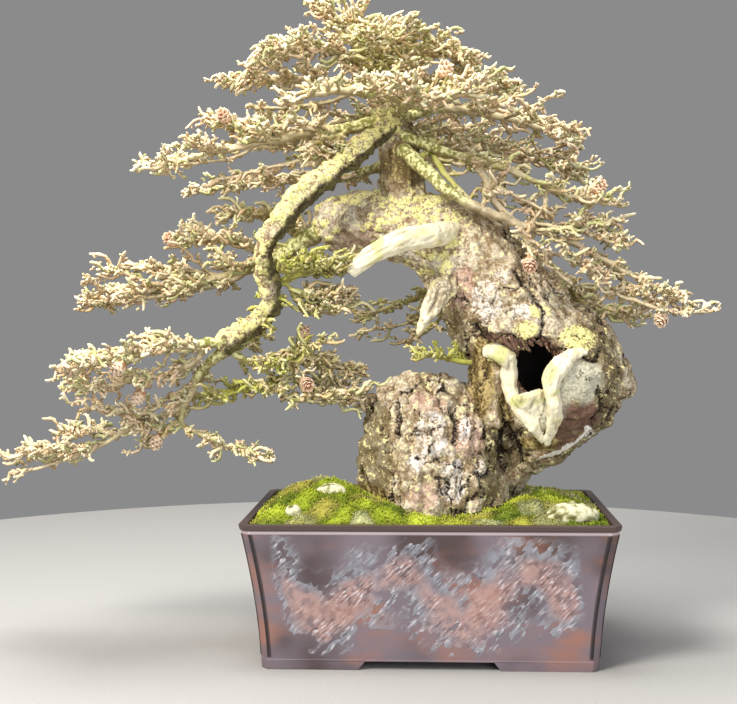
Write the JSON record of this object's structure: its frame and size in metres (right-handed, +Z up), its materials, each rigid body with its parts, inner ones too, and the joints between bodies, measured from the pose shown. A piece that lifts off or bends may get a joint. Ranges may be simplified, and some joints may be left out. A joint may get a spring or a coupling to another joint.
{
  "type": "bonsai tree in a pot",
  "caption": "Old larch bonsai in winter, with a hollow, bleached deadwood, lichen, cones and bare twigs, on moss in a splayed rectangular clay pot with four feet",
  "frame": {"origin": "below the middle of the whole object's bounding box, on the surface that the pot's feet stand on", "axes": "+Z up, -Y towards the viewer of the bonsai's front, +X to the viewer's right"},
  "size_m": [0.813, 0.4288, 0.7646],
  "materials": {
    "stoneware": "fired stoneware with a thin satin glaze, violet-brown with rust patches and dry-brushed relief",
    "screen_mesh": "moulded mesh, matt",
    "soil": "granular baked clay and pumice, matt",
    "moss": "living cushion moss",
    "lichen_stone": "rough stone crusted with pale lichen",
    "bark": "thick scaly larch bark with yellow and grey lichen",
    "deadwood": "bleached bare wood with fine grain, satin",
    "twigs": "thin straw-coloured bark, matt"
  },
  "bodies": {
    "root": {"pot": "stoneware", "drain_screen_left": "screen_mesh", "drain_screen_right": "screen_mesh", "soil": "soil", "moss_left": "moss", "moss_right": "moss", "moss_front": "moss", "moss_back": "moss", "stone_right": "lichen_stone", "stone_left": "lichen_stone", "stone_left_small": "lichen_stone", "trunk": "bark", "deadwood_jin_upper": "deadwood", "deadwood_jin_lower": "deadwood", "deadwood_hollow_lips": "deadwood", "spray_left_low_upper": "twigs", "spray_left_low_lower": "twigs", "spray_left_inner": "twigs", "spray_left_inner_high": "twigs", "spray_left_mid": "twigs", "spray_left_back": "twigs", "spray_left_upper": "twigs", "spray_left_top": "twigs", "spray_crown_left": "twigs", "spray_crown_top": "twigs", "spray_crown_right": "twigs", "spray_crown_front": "twigs", "spray_crown_back": "twigs", "spray_right_top": "twigs", "spray_right_upper": "twigs", "spray_right_upper_low": "twigs", "spray_right_mid": "twigs", "spray_right_low": "twigs", "spray_right_under": "twigs", "spray_front_pad": "twigs", "spray_front_left_pad": "twigs", "spray_back_upper": "twigs", "spray_back_left": "twigs", "spray_back_mid": "twigs", "spray_back_low": "twigs", "spray_neck_tuft": "twigs"}
  },
  "joints": []
}
